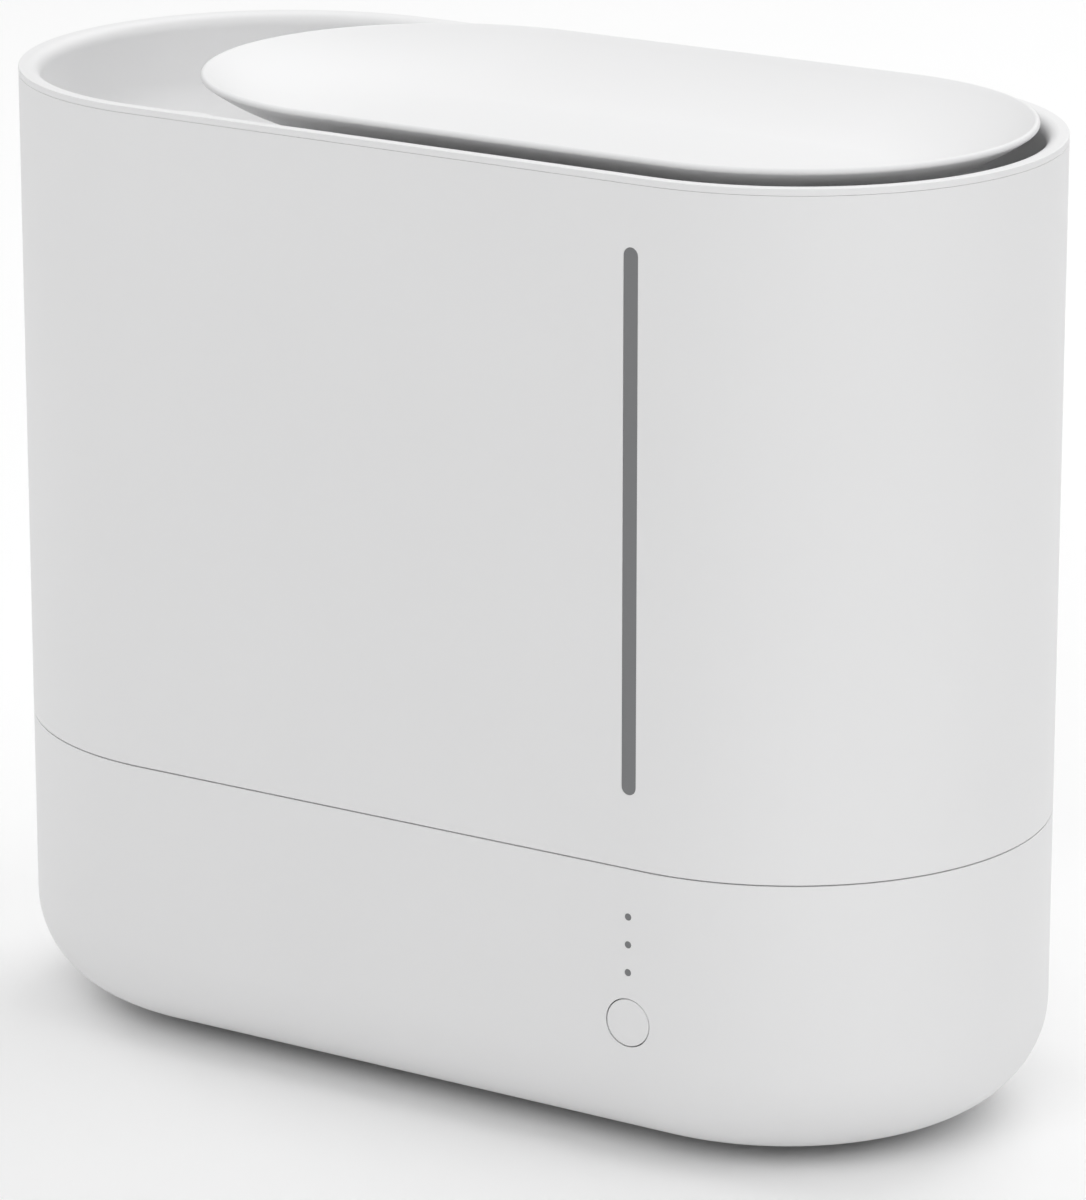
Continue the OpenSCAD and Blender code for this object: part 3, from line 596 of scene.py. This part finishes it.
softened("dc_jack", black, "base", "black_plastic", 0.3)


def insulated(name, colour):
    """PVC insulation, slightly uneven where the strands press through."""
    material, shader, spot = finish(name, 0.42, Coat_Weight=0.15)
    lay = spot.node("ShaderNodeTexNoise", None, {"Vector": spot, "Scale": 500.0, "Detail": 1.0})
    deep = tuple(c * 0.7 for c in colour)
    tint = lay.node("ShaderNodeValToRGB", {"stops": [(0.3, deep), (0.7, colour)]}, {"Fac": lay})
    bump = lay.node("ShaderNodeBump", None, {"Strength": 0.15, "Distance": 0.0002, "Height": lay})
    feed(shader, Base_Color=tint, Roughness=lay * 0.1 + 0.37, Normal=bump)
    return material


dress(insulated("lead_black", (0.02, 0.02, 0.022)), "fan_lead", "power_lead")
dress(insulated("lead_red", (0.42, 0.02, 0.015)), "disc_lead")
dress(insulated("lead_grey", (0.22, 0.22, 0.23)), "control_lead")


# ---------------------------------------------------------------------------
# Tank
# The tall white wall of the water tank, with its level window let into the front.

tank_low, tank_high = place("tank_shell")
window_low, window_high = place("level_window")
window_r = (window_high.x - window_low.x) / 2
window_z = (window_high.z + window_low.z) / 2
window_tall = (window_high.z - window_low.z) / 2 - window_r
window_columns = [panel_x + d for d in (-3.2, -1.6, -0.8, 0, 0.8, 1.6, 3.2)]
window_rows = sorted(window_z + s * (window_tall + d) for s in (-1, 1) for d in (-1.2, 0, 1.2, 2.4, 3.2))
groove = 0.12
tank_section = (
    arc(end_r - seam_edge, tank_low.z + seam_edge, seam_edge, -90, 0, 4)
    + [(end_r, z) for z in window_rows]
    + arc(end_r - 0.06, tank_high.z - groove, 0.06, 0, 90, 2)
    + [(end_r - 0.3, tank_high.z - groove + 0.06), (end_r - 0.3, tank_high.z), (inner_r, tank_high.z)]
    + [(inner_r, z) for z in reversed(window_rows)]
    + [(inner_r, tank_low.z)]
)
tank = obround(tank_section, half, runs=window_columns)
pierce(tank, -1, (end_r, inner_r), panel_x, window_z, window_r, 3.2, window_tall)
piece("tank_wall", tank, white, "tank", "white_shell", "tank_shell")

# The level window: a strip of smoked clear plastic, flush with the wall.
strip_r = window_r - 0.02
strip_edge = 0.1
upright = face_out @ Matrix.Rotation(math.radians(90), 4, "Z")
strip_section = (
    [(0, end_r), (window_r - strip_edge, end_r)]
    + arc(window_r - 0.12, end_r - strip_edge, strip_edge, 90, 0, 2)[1:]
    + [(strip_r, inner_r), (0, inner_r)]
)
strip = obround(strip_section, window_tall, closed=False, turns=24)
piece("window_strip", put(strip, upright, (panel_x, 0, window_z)), smoked, "tank", "window_grey",
      "level_window")

# The welded floor, and the chimney that takes the mist up through the water to a soft seal.
softened("tank_floor", inner_white, "tank", "inner_white", 0.3)
softened("mist_chimney", inner_white, "tank", "inner_white", 0.3)
soft_seal = moulded("silicone", (0.60, 0.61, 0.62), 0.5, 0.06)
softened("chimney_seal", soft_seal, "tank", "silicone", 0.4)


# ---------------------------------------------------------------------------
# Valve
# Under the tank a sprung plunger shuts the outlet when the tank is lifted. The pin on the
# tray holds it open. Seat, cage and plunger are white acetal, the spring stainless steel.

softened("valve_seat", inner_white, "tank", "inner_white", 0.2)
softened("valve_cage", inner_white, "tank", "inner_white", 0.2)
softened("valve_plunger", inner_white, "valve", "inner_white", 0.2)
dress(soft_seal, "valve_seal")
dress(zinc, "valve_spring")


# ---------------------------------------------------------------------------
# Top cover
# One white moulding that drops into the tank: a flat rim, a recess that carries the mist
# outlet at the left, and a raised neck round the fill opening. A collar meets the chimney.

_, cover_high = place("top_cover")
rim_z = cover_high.z
cover_r = end_r - 5                          # the recess wall
rim_round = 3.0
recess_fillet = 9.5
floor_z = rim_z - 24
floor_t = 2.4
skirt = 1.8
under_z = floor_z - floor_t
fill_r = 34.1
neck_w = 2.0
neck_z = rim_z - 14
neck_edge = 0.5
chimney_low, chimney_high = place("mist_chimney")
chimney_x = (chimney_low.x + chimney_high.x) / 2
chimney_r = (chimney_high.x - chimney_low.x) / 2 - 2
outlet_lip_w = 1.9
outlet_lip_z = rim_z - 17.8
outlet_edge = 0.6
socket_r = (chimney_r + 2.6, chimney_r + 4.4)  # the collar that the chimney's seal meets
socket_z = floor_z - 11
lid_low, lid_high = place("lid_dish")
lid_half = (lid_high.x - lid_low.x - (lid_high.y - lid_low.y)) / 2
lid_x = (lid_high.x + lid_low.x) / 2


def fill(bm, z):
    """Closes the flat region between the open loops that lie at one height."""
    loops = [e for e in bm.edges if e.is_boundary and all(abs(v.co.z - z) < 0.001 for v in e.verts)]
    bmesh.ops.triangle_fill(bm, use_beauty=True, edges=loops, normal=(0, 0, 1))


cover_section = (
    [(cover_r - recess_fillet, floor_z)]
    + arc(cover_r - recess_fillet, floor_z + recess_fillet, recess_fillet, -90, 0, 12)[1:]
    + arc(cover_r + rim_round, rim_z - rim_round, rim_round, 180, 90, 8)
    + arc(end_r - 0.2, rim_z - 0.2, 0.2, 90, 0, 3)
    + arc(end_r - 0.06, tank_high.z + 0.06, 0.06, 0, -90, 2)
    + [(cover_r + skirt, tank_high.z)]
    + arc(cover_r - recess_fillet, floor_z + recess_fillet, recess_fillet + skirt, 0, -90, 12)
    + [(cover_r - recess_fillet, under_z)]
)
neck_section = (
    [(fill_r + neck_w, floor_z)]
    + arc(fill_r + neck_w - neck_edge, neck_z - neck_edge, neck_edge, 0, 90, 4)
    + arc(fill_r + neck_edge, neck_z - neck_edge, neck_edge, 90, 180, 4)
    + [(fill_r, under_z)]
)
outlet_section = (
    [(chimney_r + outlet_lip_w, floor_z)]
    + arc(chimney_r + outlet_lip_w - outlet_edge, outlet_lip_z - outlet_edge, outlet_edge, 0, 90, 3)
    + arc(chimney_r + outlet_edge, outlet_lip_z - outlet_edge, outlet_edge, 90, 180, 4)
    + [(chimney_r, under_z), (socket_r[0], under_z), (socket_r[0], socket_z), (socket_r[1], socket_z),
       (socket_r[1], under_z)]
)
cover = obround(cover_section, half, closed=False)
join(cover, obround(neck_section, lid_half, lid_x, closed=False))
join(cover, put(turned(outlet_section, 64), at=(chimney_x, 0, 0)))
fill(cover, floor_z)
fill(cover, under_z)
piece("recessed_cover", cover, white, "cover", "white_shell", "top_cover")


# ---------------------------------------------------------------------------
# Lid
# A shallow white dish whose rim curls up and stands just proud of the cover, leaving the
# mist crescent open. It lifts off for filling, on the skirt and seal moulded under it.

lid_r = lid_high.y
lip = 0.8                                    # half the dish's wall, rounded off at the lip
lip_z = lid_high.z - lip
dish_depth = 10.5
dish_curve = 55.0                            # radius that curves the dish up to its lip
lean = math.degrees(math.acos(1 - dish_depth / dish_curve))
edge_r = lid_r - lip
flat_r = edge_r - dish_curve * math.sin(math.radians(lean))
curve_z = lip_z - dish_depth + dish_curve
lid_section = (
    [(0, lip_z - dish_depth + lip), (flat_r / 2, lip_z - dish_depth + lip)]
    + arc(flat_r, curve_z, dish_curve - lip, -90, -90 + lean, 20)[:-1]
    + arc(edge_r, lip_z, lip, 90 + lean, -90 + lean, 10)
    + arc(flat_r, curve_z, dish_curve + lip, -90 + lean, -90, 20)[1:]
    + [(flat_r / 2, lip_z - dish_depth - lip), (0, lip_z - dish_depth - lip)]
)
dish = obround(lid_section, lid_half, lid_x, closed=False)
piece("lid_bowl", dish, white, "lid", "white_shell", "lid_dish")
softened("lid_skirt", inner_white, "lid", "inner_white", 0.3)
softened("lid_seal", soft_seal, "lid", "silicone", 0.4)


# ---------------------------------------------------------------------------
# Studio
# A broad floor of pale matt paper, lit evenly from above and from every side by large soft
# white lamps. The camera stands to the right of the front and looks a little down.

floor_mesh = bmesh.new()
bmesh.ops.create_grid(floor_mesh, x_segments=1, y_segments=1, size=6)
floor_data = bpy.data.meshes.new("floor")
floor_mesh.to_mesh(floor_data)
floor_mesh.free()
floor = bpy.data.objects.new("floor", floor_data)
bpy.context.scene.collection.objects.link(floor)
paper, _, _ = finish("paper", 0.9, Base_Color=(0.97, 0.97, 0.97, 1))
floor_data.materials.append(paper)

world = bpy.data.worlds.new("studio")
bpy.context.scene.world = world
world.use_nodes = True
world.node_tree.nodes["Background"].inputs["Color"].default_value = (1, 1, 1, 1)
world.node_tree.nodes["Background"].inputs["Strength"].default_value = 0.30


def softbox(name, size, power, at, towards=(0, 0, 0.12)):
    data = bpy.data.lights.new(name, "AREA")
    data.shape = "RECTANGLE"
    data.size, data.size_y = size
    data.energy = power
    lamp = bpy.data.objects.new(name, data)
    bpy.context.scene.collection.objects.link(lamp)
    lamp.location = at
    lamp.rotation_euler = (Vector(towards) - Vector(at)).to_track_quat("-Z", "Y").to_euler()


softbox("overhead", (3, 3), 19, (0, 0.3, 2.6))
softbox("right", (2, 2), 3.2, (2.4, -0.6, 1.0))
softbox("high right", (2, 2), 15.5, (2.2, 0, 2.0))
softbox("high left", (2, 2), 17.5, (-2.2, 0, 2.0))
softbox("high front", (2, 2), 20.5, (0.4, -2.2, 2.0))
softbox("high back", (2, 2), 25.5, (0, 2.2, 2.0))

azimuth = math.radians(32.753)
elevation = math.radians(16.56)
back = Vector((math.sin(azimuth) * math.cos(elevation), -math.cos(azimuth) * math.cos(elevation),
               math.sin(elevation)))
right = Vector((math.cos(azimuth), math.sin(azimuth), 0))
up = back.cross(right)
distance = 1.4283                            # metres from the camera to what it aims at
aim_right = 0.002771                         # and how far that lies from the foot of the base
aim_up = 0.09818
camera_data = bpy.data.cameras.new("camera")
camera_data.lens = 184.20
camera_data.sensor_width = 36
camera = bpy.data.objects.new("camera", camera_data)
bpy.context.scene.collection.objects.link(camera)
foot_of_base = Vector((0, 0, base_z / 1000))
camera.location = foot_of_base + back * distance + right * aim_right + up * aim_up
camera.rotation_euler = (-back).to_track_quat("-Z", "Y").to_euler()
bpy.context.scene.camera = camera
bpy.context.scene.view_settings.view_transform = "Standard"
